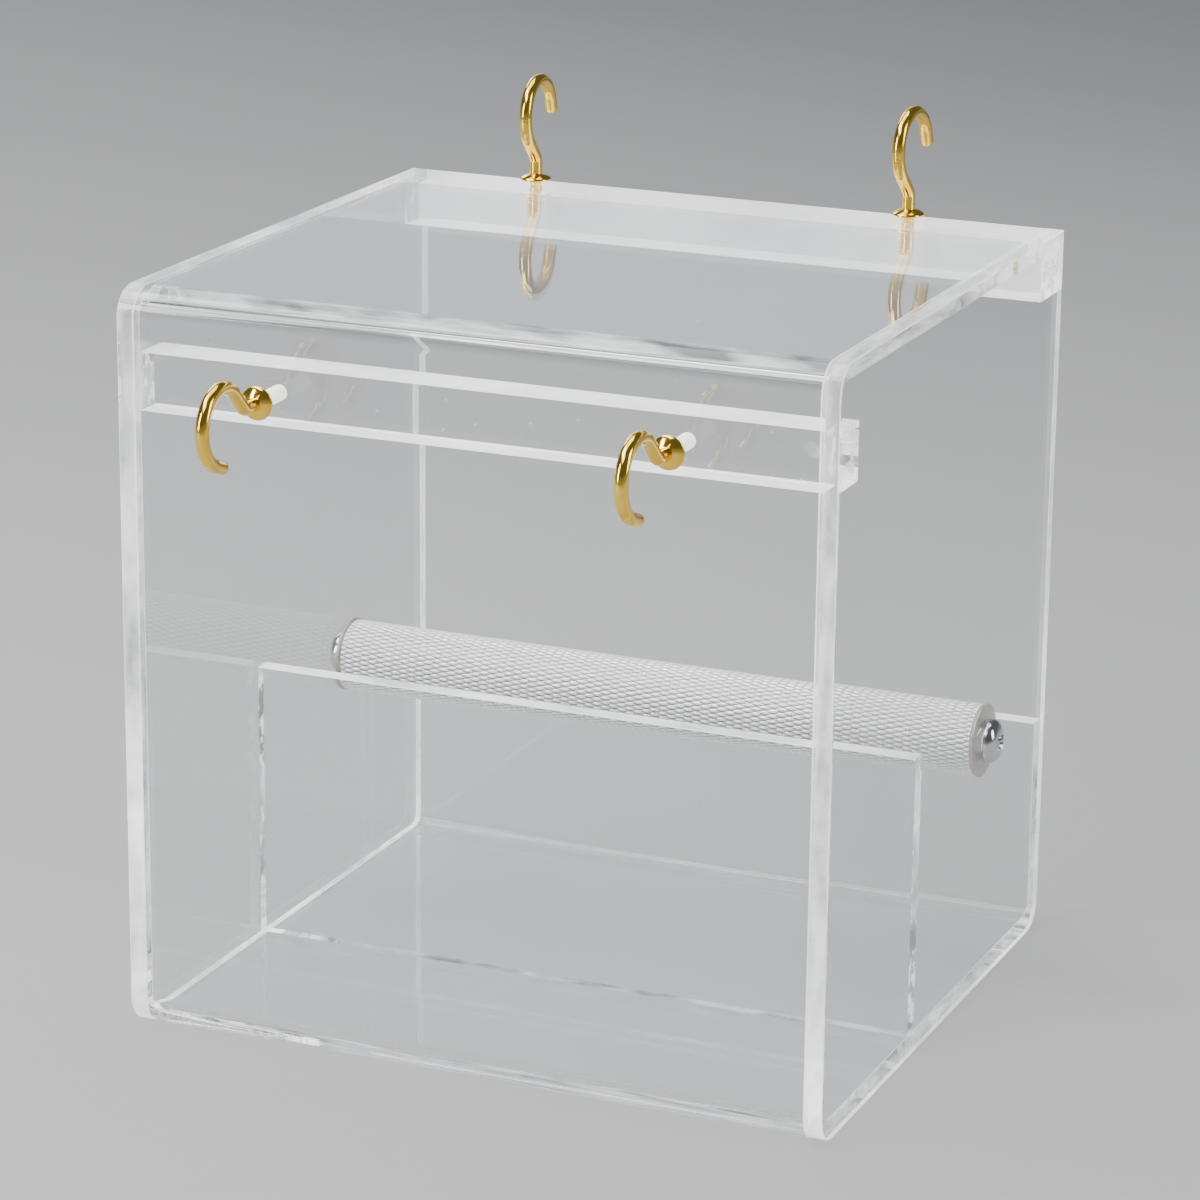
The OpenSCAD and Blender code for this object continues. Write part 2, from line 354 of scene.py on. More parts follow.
MATERIALS = {
    "polished": polished_acrylic(),
    "cut": cut_acrylic(),
    "glued": glued_acrylic(),
    "bonded": bonded_acrylic(),
    "front_hole": tapped_acrylic("acrylic_tapped_wall", 0.05),
    "top_hole": tapped_acrylic("acrylic_clear_tapped_wall", 0.7),
    "brass": brass(),
    "steel": plated_steel(),
    "aluminium": knurled_aluminium(),
}
ACRYLIC_SLOTS = ["polished", "cut", "glued", "bonded", "front_hole", "top_hole"]

# ---------------------------------------------------------------- mesh helpers


def piece_from(name, verts, faces, slots, face_slots=None):
    """A mesh object from points and faces. face_slots names each face's material."""
    mesh = bpy.data.meshes.new(name)
    mesh.from_pydata([tuple(v) for v in verts], [], faces)
    for slot in slots:
        mesh.materials.append(MATERIALS[slot])
    if face_slots:
        mesh.polygons.foreach_set("material_index", [slots.index(s) for s in face_slots])
    mesh.update()
    obj = bpy.data.objects.new(name, mesh)
    bpy.context.scene.collection.objects.link(obj)
    return obj


def object_from(name, bm, slots):
    """A mesh object from a bmesh, which is freed."""
    mesh = bpy.data.meshes.new(name)
    bm.to_mesh(mesh)
    bm.free()
    for slot in slots:
        mesh.materials.append(MATERIALS[slot])
    obj = bpy.data.objects.new(name, mesh)
    bpy.context.scene.collection.objects.link(obj)
    return obj


def recalculate(obj):
    """Turns every face of a closed mesh outwards."""
    bm = bmesh.new()
    bm.from_mesh(obj.data)
    bmesh.ops.recalc_face_normals(bm, faces=bm.faces)
    bm.to_mesh(obj.data)
    bm.free()


def cut_with(obj, cutters):
    """Cuts the cutters out of obj, keeping the cutters' material on the new walls."""
    for cutter in cutters:
        modifier = obj.modifiers.new("cut", "BOOLEAN")
        modifier.operation = "DIFFERENCE"
        modifier.solver = "EXACT"
        modifier.object = cutter
        modifier.material_mode = "TRANSFER"
        bpy.context.view_layer.update()
        evaluated = obj.evaluated_get(bpy.context.evaluated_depsgraph_get())
        mesh = bpy.data.meshes.new_from_object(evaluated)
        obj.modifiers.clear()
        obj.data = mesh
    for cutter in cutters:
        bpy.data.objects.remove(cutter)
    weld(obj)


def weld(obj):
    """Joins points that lie closer than the weld gap and drops the slivers between them."""
    bm = bmesh.new()
    bm.from_mesh(obj.data)
    bmesh.ops.remove_doubles(bm, verts=bm.verts, dist=WELD_GAP)
    bmesh.ops.dissolve_degenerate(bm, edges=bm.edges, dist=WELD_GAP)
    bm.to_mesh(obj.data)
    bm.free()


def lathe(name, profile, steps, slots, place, smooth=30, radius_at=None):
    """Turns a profile of (radius, height) points about local +Z. A radius of 0 closes the end.
    radius_at(radius, height, angle) may change the radius round the turn, as a thread does."""
    verts, faces, rings = [], [], []
    for radius, height in profile:
        if radius == 0:
            rings.append([len(verts)])
            verts.append(place @ Vector((0, 0, height)))
            continue
        ring = []
        for k in range(steps):
            angle = 2 * math.pi * k / steps
            r = radius_at(radius, height, angle) if radius_at else radius
            ring.append(len(verts))
            verts.append(place @ Vector((r * math.cos(angle), r * math.sin(angle), height)))
        rings.append(ring)
    for a, b in zip(rings, rings[1:], strict=False):
        for k in range(steps):
            after = (k + 1) % steps
            if len(a) == 1:
                faces.append((a[0], b[after], b[k]))
            elif len(b) == 1:
                faces.append((a[k], a[after], b[0]))
            else:
                faces.append((a[k], a[after], b[after], b[k]))
    if len(rings[0]) > 1 and len(rings[-1]) > 1:
        first, last = rings[0], rings[-1]
        for k in range(steps):
            after = (k + 1) % steps
            faces.append((last[k], last[after], first[after], first[k]))
    obj = piece_from(name, verts, faces, slots)
    recalculate(obj)
    smooth_by_angle(obj, smooth)
    return obj


def smooth_by_angle(obj, degrees):
    mesh = obj.data
    mesh.polygons.foreach_set("use_smooth", [True] * len(mesh.polygons))
    mesh.set_sharp_from_angle(angle=math.radians(degrees))
    mesh.update()


def arc(centre, radius, start, sweep, steps):
    """Points along an arc in a plane, angles in degrees, both ends included."""
    angles = [math.radians(start + sweep * k / steps) for k in range(steps + 1)]
    return [(centre[0] + radius * math.cos(a), centre[1] + radius * math.sin(a)) for a in angles]


def along_axis(origin, direction):
    """Matrix that puts local +Z on a direction at an origin."""
    return Matrix.Translation(origin) @ Vector(direction).to_track_quat("Z", "Y").to_matrix().to_4x4()


# ---------------------------------------------------------------- acrylic outlines

Y0, Y1 = SHELL_LO.y, SHELL_HI.y
Z0, Z1 = SHELL_LO.z, SHELL_HI.z


def bend_arc(centre, radius, start, sweep):
    """A bend with a short straight run at each end, so that the flat sheet beside it shades flat."""
    points = arc(centre, radius, start, sweep, ARC_STEPS)
    way = 1 if sweep > 0 else -1
    begin, end = math.radians(start), math.radians(start + sweep)
    before = Vector((math.sin(begin), -math.cos(begin))) * way
    after = Vector((-math.sin(end), math.cos(end))) * way
    first = Vector(points[0]) + before * ARC_SUPPORT
    last = Vector(points[-1]) + after * ARC_SUPPORT
    return [tuple(first), *points, tuple(last)]


def outer_path(inset):
    """The three outer bends, moved into the sheet by inset: low front, low rear and high front."""
    r = BEND_R - inset
    low_front = bend_arc((Y0 + BEND_R, Z0 + BEND_R), r, 180, 90)
    low_rear = bend_arc((Y1 - BEND_R, Z0 + BEND_R), r, 270, 90)
    high_front = bend_arc((Y0 + BEND_R, Z1 - BEND_R), r, 90, 90)
    return low_front, low_rear, high_front


def inner_path():
    """The shell's inner side from the lip's top round to the rear of the top, with what is glued to it."""
    r = BEND_R - SHEET_T
    t = SHEET_T
    points = [(Y1 - t, LIP_TOP, "polished")]
    points += [(y, z, "polished") for y, z in bend_arc((Y1 - BEND_R, Z0 + BEND_R), r, 0, -90)]
    points += [(DIVIDER_HI.y, Z0 + t, "bonded"), (DIVIDER_LO.y, Z0 + t, "polished")]
    points += [(y, z, "polished") for y, z in bend_arc((Y0 + BEND_R, Z0 + BEND_R), r, -90, -90)]
    points += [(Y0 + t, FRONT_BAR_LO.z, "bonded"), (Y0 + t, FRONT_BAR_HI.z, "polished")]
    points += [(y, z, "polished") for y, z in bend_arc((Y0 + BEND_R, Z1 - BEND_R), r, 180, -90)]
    points += [(REAR_BAR_LO.y, Z1 - t, "bonded"), (Y1, Z1 - t, "cut")]
    return points


def shell_outline(inset):
    """The bent sheet's closed end view, counter-clockwise, each point with its following face's material."""
    low_front, low_rear, high_front = outer_path(inset)
    c = FREE_CHAMFER
    points = [(y, z, "polished") for y, z in low_front + low_rear]
    points += [(Y1 - inset, LIP_TOP - c, "cut"), (Y1 - c - inset, LIP_TOP - inset, "cut")]
    shifted = [(*grow_inner(y, z, inset), slot) for y, z, slot in inner_path()]
    first = shifted[0]
    points += [(first[0] + c, LIP_TOP - inset, "cut"), (first[0], LIP_TOP - c, "polished")]
    points += shifted[1:-1]
    points += [(Y1 - inset, Z1 - SHEET_T + inset, "cut")]
    points += [(Y1 - inset, Z1 - c - inset, "cut"), (Y1 - c - inset, Z1 - inset, "polished")]
    points += [(y, z, "polished") for y, z in high_front]
    return points


def grow_inner(y, z, inset):
    """Moves a point of the inner side into the sheet by inset."""
    inner_r = BEND_R - SHEET_T
    cy = min(max(y, Y0 + BEND_R), Y1 - BEND_R)
    cz = min(max(z, Z0 + BEND_R), Z1 - BEND_R)
    dy, dz = y - cy, z - cz
    if y > Y1 - BEND_R and z > Z0 + BEND_R and z > LIP_TOP + inner_r:
        dy = 0
    length = math.hypot(dy, dz)
    if length == 0:
        return y, z
    return y + inset * dy / length, z + inset * dz / length


# ---------------------------------------------------------------- acrylic pieces


def wrap_shell():
    """One bent sheet: base, front, top and rear lip, its ends bonded to the side panels."""
    c = JOINT_CHAMFER
    loops = []
    for x, inset in ((SHELL_LO.x, c), (SHELL_LO.x + c, 0), (SHELL_HI.x - c, 0), (SHELL_HI.x, c)):
        loops.append([Vector((x, y, z)) for y, z, _ in shell_outline(inset)])
    slots_along = [slot for _, _, slot in shell_outline(0)]
    count = len(loops[0])
    verts = [v for loop in loops for v in loop]
    faces, face_slots = [], []
    for k in range(len(loops) - 1):
        for i in range(count):
            j = (i + 1) % count
            faces.append((k * count + i, (k + 1) * count + i, (k + 1) * count + j, k * count + j))
            face_slots.append("cut" if k != 1 else slots_along[i])
    faces.append(tuple(range(count)))
    faces.append(tuple(reversed(range(3 * count, 4 * count))))
    face_slots += ["bonded", "bonded"]
    obj = piece_from("wrap_shell_acrylic", verts, faces, ACRYLIC_SLOTS, face_slots)
    recalculate(obj)
    cut_with(obj, [hook_cutter(kind, side, 0.0) for kind in ("top", "front") for side in SIDES])
    smooth_by_angle(obj, 20)
    return obj


def side_panel(side):
    """Flat side sheet, its inner face split where the shell, the divider and the bars are bonded to it."""
    lo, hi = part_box(f"{side}_side_panel")
    inner_x, outer_x = (hi.x, lo.x) if side == "left" else (lo.x, hi.x)
    out = 1 if outer_x > inner_x else -1
    bm = bmesh.new()
    seen = {}

    def vert(x, y, z):
        key = (round(x, 7), round(y, 7), round(z, 7))
        if key not in seen:
            seen[key] = bm.verts.new((x, y, z))
        return seen[key]

    def face(points, slot):
        made = bm.faces.new([vert(*p) for p in points])
        made.material_index = ACRYLIC_SLOTS.index(slot)

    def rim(inset):
        low_front, low_rear, high_front = outer_path(inset)
        rear = [(Y1 - inset, z) for z in (LIP_TOP, REAR_BAR_LO.z, REAR_BAR_HI.z)]
        return low_front + low_rear + rear + [(Y1 - inset, Z1 - inset)] + high_front

    c, f = JOINT_CHAMFER, FREE_CHAMFER
    steps = [(inner_x, c), (inner_x + out * c, 0), (outer_x - out * f, 0), (outer_x, f)]
    loops = [[(x, y, z) for y, z in rim(inset)] for x, inset in steps]
    for a, b in zip(loops, loops[1:], strict=False):
        for i in range(len(a)):
            j = (i + 1) % len(a)
            face([a[i], a[j], b[j], b[i]], "cut")
    face(loops[3], "polished")
    for outline, slot in inner_face_parts(c):
        face([(inner_x, y, z) for y, z in outline], slot)
    bmesh.ops.recalc_face_normals(bm, faces=bm.faces)
    obj = object_from(f"{side}_side_panel_acrylic", bm, ACRYLIC_SLOTS)
    cut_with(obj, [screw_cutter(inner_x, outer_x)])
    smooth_by_angle(obj, 20)
    return obj


def inner_face_parts(c):
    """The side panel's inner face as outlines: what is bonded to it, and the free rest."""
    low_front, low_rear, high_front = outer_path(c)
    inner = [(y, z) for y, z, _ in inner_path()[:-1]]
    lip_outer = (Y1 - c, LIP_TOP)
    top_end = [(Y1 - c, Z1 - SHEET_T), (Y1 - c, Z1 - c)]
    shell = low_front + low_rear + [lip_outer] + inner + top_end + high_front
    d0, d1, dz = DIVIDER_LO.y, DIVIDER_HI.y, DIVIDER_HI.z
    f0, f1, fz0, fz1 = FRONT_BAR_LO.y, FRONT_BAR_HI.y, FRONT_BAR_LO.z, FRONT_BAR_HI.z
    r0, rz = REAR_BAR_LO.y, REAR_BAR_LO.z
    base = Z0 + SHEET_T
    divider = [(d0, base), (d1, base), (d1, dz), (d0, dz)]
    front_bar = [(f0, fz0), (f1, fz0), (f1, fz1), (f0, fz1)]
    rear_bar = [(r0, rz), (Y1 - c, rz), (Y1 - c, Z1 - SHEET_T), (r0, Z1 - SHEET_T)]
    free = [lip_outer]
    for y, z in inner:
        free.append((y, z))
        if (y, z) == (d1, base):
            free += [(d1, dz), (d0, dz)]
        if (y, z) == (f0, fz0):
            free += [(f1, fz0), (f1, fz1)]
    free += [(r0, rz), (Y1 - c, rz)]
    parts = [(shell, "glued"), (divider, "glued"), (front_bar, "glued"), (rear_bar, "glued")]
    return [*parts, (free, "polished")]


def box_piece(name, node, glued, cut, holes=()):
    """A bar or plain sheet. glued and cut list the faces, as ("x", 1) for the face towards +X.
    holes are cutters."""
    lo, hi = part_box(node)
    bm = bmesh.new()
    place = Matrix.Translation((lo + hi) / 2) @ Matrix.Diagonal((*(hi - lo), 1))
    bmesh.ops.create_cube(bm, size=1, matrix=place)
    bmesh.ops.recalc_face_normals(bm, faces=bm.faces)

    def towards(face):
        axis = max(range(3), key=lambda i: abs(face.normal[i]))
        return "xyz"[axis], 1 if face.normal[axis] > 0 else -1

    for face in bm.faces:
        way = towards(face)
        slot = "glued" if way in glued else "cut" if way in cut else "polished"
        face.material_index = ACRYLIC_SLOTS.index(slot)
    free = [e for e in bm.edges if not any(towards(f) in glued for f in e.link_faces)]
    cut_slot = ACRYLIC_SLOTS.index("cut")
    bmesh.ops.bevel(bm, geom=free, offset=FREE_CHAMFER, segments=1, affect="EDGES", material=cut_slot)
    obj = object_from(name, bm, ACRYLIC_SLOTS)
    if holes:
        cut_with(obj, holes)
    smooth_by_angle(obj, 20)
    return obj


# ---------------------------------------------------------------- threads, hooks and collars

HOOK_PITCH = 91 * MM
HOOK_HOLE_DEPTH = 11 * MM
WIRE_R = 1.45 * MM
TAP_CREST_R = 1.5 * MM
TAP_ROOT_R = 1.68 * MM
HOOK_THREAD = 0.5 * MM
HOOK_THREAD_DEPTH = 0.26 * MM
HOOK_STEPS = 28
SHANK_SHORT = 0.5 * MM
TAP_ROWS = 6
THREAD_ROWS = 8
LEAD_ROWS = 6
LEAD_TAPER = 0.45 * MM
NECK_R = 2 * MM
LOOP_R = 8 * MM
LEAN = 45
NECK_LEN = 5.2 * MM
LOOP_SWEEP = 205
TIP_LEN = 3.6 * MM
TIP_ROUNDING = [(0.12 * MM, 0.05 * MM), (0.30 * MM, 0.22 * MM), (0.36 * MM, 0.5 * MM)]
TIP_ROUNDED = 0.4 * MM
STRAIGHT_STEPS = 6
NECK_STEPS = 12
LOOP_STEPS = 60
RISE = {"top": 5.6 * MM, "front": 8.4 * MM}
COLLAR_GAP = {"top": 1.4 * MM, "front": 3.4 * MM}
HOOK_TURN = {("top", "left"): 3, ("top", "right"): -3, ("front", "left"): 0, ("front", "right"): 0}
BAR_HOLE_WIDER = 0.04 * MM


def hook_origin(kind, side):
    x = SIDES[side] * HOOK_PITCH / 2
    if kind == "top":
        return Vector((x, (REAR_BAR_LO.y + REAR_BAR_HI.y) / 2, Z1))
    return Vector((x, Y0, (FRONT_BAR_LO.z + FRONT_BAR_HI.z) / 2))


def hook_axes(kind, side):
    """Directions of the shank, outwards, and of the side that the loop leans to."""
    turn = math.radians(HOOK_TURN[kind, side])
    if kind == "top":
        return Vector((0, 0, 1)), Vector((math.sin(turn), -math.cos(turn), 0))
    return Vector((0, -1, 0)), Vector((math.sin(turn), 0, math.cos(turn)))


def thread_wave(height, angle, pitch):
    """0 in a thread's root, 1 on its crest."""
    phase = (height / pitch - angle / (2 * math.pi)) % 1.0
    return 1 - abs(2 * phase - 1)


def hook_cutter(kind, side, extra):
    """The tapped blind hole of one hook, with a drill point, cut through the sheet and into its bar.
    extra is added to its radius."""
    out, _ = hook_axes(kind, side)
    place = along_axis(hook_origin(kind, side), out)
    start, stop, drill_point = -HOOK_HOLE_DEPTH, MM, 0.6 * MM
    rows = int(round((stop - start) / HOOK_THREAD * TAP_ROWS))
    profile = [(0, start - drill_point)]
    profile += [(TAP_CREST_R + extra, start + (stop - start) * k / rows) for k in range(rows + 1)]
    profile += [(0, stop)]

    def radius_at(radius, height, angle):
        return radius + (TAP_ROOT_R - TAP_CREST_R) * thread_wave(height, angle, HOOK_THREAD)

    return lathe("cutter", profile, 36, [f"{kind}_hole"], place, 50, radius_at)


def screw_cutter(inner_x, outer_x):
    """The clearance hole of a perch screw through a side panel."""
    lo, hi = min(inner_x, outer_x) - MM, max(inner_x, outer_x) + MM
    centre = (ROD_LO + ROD_HI) / 2
    place = along_axis(Vector((0, centre.y, centre.z)), (1, 0, 0))
    radius = SCREW_R + 0.05 * MM
    return lathe("cutter", [(0, lo), (radius, lo), (radius, hi), (0, hi)], 48, ["top_hole"], place)


def hook_path(rise):
    """Centre line of the hook beyond its threaded shank as (along the shank, to the leaning side) points."""
    lean = math.radians(LEAN)
    points = [(rise * k / STRAIGHT_STEPS, 0.0) for k in range(STRAIGHT_STEPS)]
    for k in range(NECK_STEPS + 1):
        a = lean * k / NECK_STEPS
        points.append((rise + NECK_R * math.sin(a), NECK_R * (1 - math.cos(a))))
    neck = points[-1]
    for k in range(1, STRAIGHT_STEPS):
        s = NECK_LEN * k / STRAIGHT_STEPS
        points.append((neck[0] + s * math.cos(lean), neck[1] + s * math.sin(lean)))
    loop_start = (neck[0] + NECK_LEN * math.cos(lean), neck[1] + NECK_LEN * math.sin(lean))
    centre = (loop_start[0] + LOOP_R * math.sin(lean), loop_start[1] - LOOP_R * math.cos(lean))
    for k in range(LOOP_STEPS + 1):
        a = math.radians(-LEAN + LOOP_SWEEP * k / LOOP_STEPS)
        points.append((centre[0] + LOOP_R * math.sin(a), centre[1] + LOOP_R * math.cos(a)))
    tip = math.radians(LOOP_SWEEP - LEAN)
    end = points[-1]
    for k in range(1, STRAIGHT_STEPS + 1):
        s = (TIP_LEN - TIP_ROUNDED) * k / STRAIGHT_STEPS
        points.append((end[0] + s * math.cos(tip), end[1] - s * math.sin(tip)))
    return points


def hook(kind, side):
    """Brass screw hook: threaded shank, plain neck, open loop with a straight clipped tip."""
    out, lean = hook_axes(kind, side)
    origin = hook_origin(kind, side)
    across = out.cross(lean)
    steps = HOOK_STEPS
    rings = []
    depth = HOOK_HOLE_DEPTH - SHANK_SHORT
    rows = int(depth / HOOK_THREAD * THREAD_ROWS)
    for k in range(rows + 1):
        along = -depth + depth * k / rows
        shrink = max(0.0, 1 - k / LEAD_ROWS) * LEAD_TAPER
        rings.append((along, 0.0, out, WIRE_R - shrink, True))
    path = hook_path(RISE[kind])
    for k in range(1, len(path)):
        a, b = path[k - 1], path[min(k + 1, len(path) - 1)]
        tangent = (out * (b[0] - a[0]) + lean * (b[1] - a[1])).normalized()
        rings.append((*path[k], tangent, WIRE_R, False))
    end_along, end_aside, direction, _, _ = rings[-1]
    for forward, shrink in TIP_ROUNDING:
        along = end_along + direction.dot(out) * forward
        aside = end_aside + direction.dot(lean) * forward
        rings.append((along, aside, direction, WIRE_R - shrink, False))
    verts, faces = [], []
    for along, aside, tangent, radius, threaded in rings:
        centre = origin + out * along + lean * aside
        side_axis = across.cross(tangent)
        for j in range(steps):
            angle = 2 * math.pi * j / steps
            r = radius
            if threaded:
                r -= HOOK_THREAD_DEPTH * (1 - thread_wave(along, angle, HOOK_THREAD))
            verts.append(centre + side_axis * (r * math.cos(angle)) + across * (r * math.sin(angle)))
    for k in range(len(rings) - 1):
        for j in range(steps):
            n = (j + 1) % steps
            faces.append((k * steps + j, k * steps + n, (k + 1) * steps + n, (k + 1) * steps + j))
    faces.append(tuple(range(steps)))
    faces.append(tuple(range((len(rings) - 1) * steps, len(rings) * steps)))
    obj = piece_from(f"{kind}_hook_{side}_brass", verts, faces, ["brass"])
    recalculate(obj)
    smooth_by_angle(obj, 50)
    return obj


def collar(kind, side):
    """Thin domed collar with a rolled rim, pressed on the hook's shank."""
    out, _ = hook_axes(kind, side)
    place = along_axis(hook_origin(kind, side) + out * COLLAR_GAP[kind], out)
    rim_r, thick, dome = 3.6 * MM, 0.5 * MM, 1.2 * MM
    ball = (rim_r**2 + dome**2) / (2 * dome)
    bore = WIRE_R - 0.02 * MM
    outside, inside = [], []
    for k in range(13):
        r = bore + (rim_r - 0.2 * MM - bore) * k / 12
        rise = math.sqrt(ball**2 - r**2) - (ball - dome)
        outside.append((r, rise + thick))
        inside.append((r, rise))
    rim = [
        (rim_r - 0.06 * MM, thick * 0.98),
        (rim_r, thick * 0.72),
        (rim_r, thick * 0.30),
        (rim_r - 0.08 * MM, 0.03 * MM),
    ]
    return lathe(f"{kind}_hook_collar_{side}_brass", outside + rim + inside[::-1], 56, ["brass"], place, 45)


# ---------------------------------------------------------------- perch

SCREW_ROOT_R = 2.06 * MM
SCREW_THREAD = 0.8 * MM
HEAD_H = 3.1 * MM
HEAD_SIDE = 0.16
HEAD_CROWN = 0.86
HEAD_FLAT = 0.34
RECESS_DEPTH = 1.9 * MM
RECESS_FLOOR = (2.0 * MM, 0.9 * MM)
RECESS_MOUTH = (5.4 * MM, 1.35 * MM)
KNURL_COLUMNS = 74
KNURL_ROUND = 42
GROOVE_SHARPNESS = 3.4


def knurled_rod():
    """Diamond-knurled rod with a plain rim at each end. Points lie on the knurl's two helix families,
    four to a cell, so that the grooves are crisp."""
    lo, hi = ROD_LO, ROD_HI
    centre = (lo + hi) / 2
    rim_r = (hi.z - lo.z) / 2
    start, stop = lo.x + RIM_W, hi.x - RIM_W
    rows, around = KNURL_COLUMNS * 4, KNURL_ROUND * 4
    verts, faces = [], []

    def point(x, radius, angle):
        return (x, centre.y + radius * math.cos(angle), centre.z + radius * math.sin(angle))

    def groove(step):
        return abs(((step + 2) % 4) - 2) / 2

    for s in range(rows + 1):
        x = start + (stop - start) * s / rows
        for k in range(around):
            t = 2 * k + s % 2
            g1, g2 = groove((t + s) // 2), groove((t - s) // 2)
            crest = (1 - g1**GROOVE_SHARPNESS) * (1 - g2**GROOVE_SHARPNESS)
            radius = CREST_R - KNURL_DEPTH * (1 - crest)
            verts.append(point(x, radius, 2 * math.pi * t / (2 * around)))

    def index(s, t):
        return s * around + ((t - s % 2) // 2) % around

    for s in range(rows - 1):
        for k in range(around):
            t = 2 * k + s % 2
            faces.append((index(s, t), index(s + 1, t + 1), index(s + 2, t), index(s + 1, t - 1)))
    for s, inner in ((0, 1), (rows, rows - 1)):
        for k in range(around):
            t = 2 * k + s % 2
            faces.append((index(s, t), index(s, t + 2), index(inner, t + 1)))
    tap_r, tap_depth, c = 2.1 * MM, 18 * MM, 0.35 * MM
    for end, way, row in ((lo.x, 1, 0), (hi.x, -1, rows)):
        rings = [
            (RIM_W - 0.02 * MM, rim_r - c),
            (RIM_W - c, rim_r),
            (c, rim_r),
            (0.05 * MM, rim_r - 0.06 * MM),
            (0.0, rim_r - c),
            (0.0, tap_r + 0.5 * MM),
            (0.5 * MM, tap_r),
            (tap_depth, tap_r),
        ]
        before = [index(row, 2 * k) for k in range(around)]
        for inwards, radius in rings:
            ring = []
            for k in range(around):
                ring.append(len(verts))
                verts.append(point(end + way * inwards, radius, 2 * math.pi * 2 * k / (2 * around)))
            for k in range(around):
                n = (k + 1) % around
                faces.append((before[k], before[n], ring[n], ring[k]))
            before = ring
        faces.append(tuple(before))
    obj = piece_from("perch_rod_knurled", verts, faces, ["aluminium"])
    recalculate(obj)
    smooth_by_angle(obj, 60)
    return obj


def frustum(low, high, z_low, z_high, place):
    """A cutter block whose rectangular ends differ: low and high are (x, y) sizes."""
    verts = []
    for (sx, sy), z in ((low, z_low), (high, z_high)):
        for dx, dy in ((-1, -1), (1, -1), (1, 1), (-1, 1)):
            verts.append(place @ Vector((dx * sx / 2, dy * sy / 2, z)))
    faces = [(0, 1, 2, 3), (4, 5, 6, 7), (0, 1, 5, 4), (1, 2, 6, 5), (2, 3, 7, 6), (3, 0, 4, 7)]
    obj = piece_from("cutter", verts, faces, ["steel"])
    recalculate(obj)
    return obj


def perch_screw(side):
    """Pan head machine screw with a cross recess and a threaded shank."""
    lo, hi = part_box(f"perch_screw_{side}")
    centre = (lo + hi) / 2
    way = SIDES[side]
    head_r = (hi.z - lo.z) / 2
    seat_x = hi.x - HEAD_H if way > 0 else lo.x + HEAD_H
    tip = (hi.x - lo.x) - HEAD_H
    place = along_axis(Vector((seat_x, centre.y, centre.z)), (way, 0, 0))
    profile = [(0, -tip), (SCREW_ROOT_R - 0.5 * MM, -tip)]
    rows = int(tip / SCREW_THREAD * THREAD_ROWS)
    profile += [(SCREW_R, -tip + 0.5 * MM + (tip - 0.7 * MM) * k / rows) for k in range(rows + 1)]
    profile += [(SCREW_R + 0.2 * MM, 0), (head_r - 0.15 * MM, 0), (head_r, 0.12 * MM)]
    side_h = HEAD_H * HEAD_SIDE
    profile += [(head_r, side_h)]
    flat_r = head_r * HEAD_FLAT
    crown_h = (HEAD_H - side_h) * HEAD_CROWN
    for k in range(1, 13):
        a = math.radians(90 * k / 12)
        profile.append((flat_r + (head_r - flat_r) * math.cos(a), side_h + crown_h * math.sin(a)))
    crown = side_h + crown_h
    for k in range(1, 7):
        r = flat_r * (1 - k / 7)
        profile.append((r, crown + (HEAD_H - crown) * (1 - (r / flat_r) ** 2)))
    profile += [(0, HEAD_H)]

    def radius_at(radius, height, angle):
        if height > -0.2 * MM or abs(radius - SCREW_R) > 0.01 * MM:
            return radius
        return radius - (SCREW_R - SCREW_ROOT_R) * (1 - thread_wave(height, angle, SCREW_THREAD))

    obj = lathe(f"perch_screw_{side}_steel", profile, 64, ["steel"], place, 40, radius_at)
    floor_z, above = HEAD_H - RECESS_DEPTH, HEAD_H + 0.4 * MM
    for turn in (45, 135):
        spin = place @ Matrix.Rotation(math.radians(turn), 4, "Z")
        cut_with(obj, [frustum(RECESS_FLOOR, RECESS_MOUTH, floor_z, above, spin)])
    cone = [(0, floor_z - 0.5 * MM), (0.4 * MM, floor_z - 0.1 * MM), (1.6 * MM, above), (0, above)]
    cut_with(obj, [lathe("cutter", cone, 32, ["steel"], place)])
    smooth_by_angle(obj, 35)
    return obj


# ---------------------------------------------------------------- assembly


def place_piece(obj, body, node):
    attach(obj, body)
    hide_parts(node)


def build_box():
    place_piece(wrap_shell(), "box", "wrap_shell")
    for side in SIDES:
        place_piece(side_panel(side), "box", f"{side}_side_panel")
    ends = [("x", -1), ("x", 1)]
    divider = box_piece("food_divider_acrylic", "food_divider", [*ends, ("z", -1)], [("z", 1)])
    place_piece(divider, "box", "food_divider")
    front = box_piece(
        "front_hook_bar_acrylic", "front_hook_bar", [*ends, ("y", -1)], [("z", -1), ("z", 1)],
        [hook_cutter("front", side, BAR_HOLE_WIDER) for side in SIDES])
    place_piece(front, "box", "front_hook_bar")
    rear = box_piece(
        "rear_hook_bar_acrylic", "rear_hook_bar", [*ends, ("z", 1)], [("z", -1), ("y", 1)],
        [hook_cutter("top", side, BAR_HOLE_WIDER) for side in SIDES])
    place_piece(rear, "box", "rear_hook_bar")


def build_hooks():
    for kind in ("top", "front"):
        for side in SIDES:
            body = f"{kind}_{side}"
            place_piece(hook(kind, side), body, f"{kind}_hook_{side}")
            place_piece(collar(kind, side), body, f"{kind}_hook_collar_{side}")


def build_perch():
    place_piece(knurled_rod(), "perch", "perch_rod")
    for side in SIDES:
        place_piece(perch_screw(side), "perch", f"perch_screw_{side}")


# ---------------------------------------------------------------- stage, light and camera


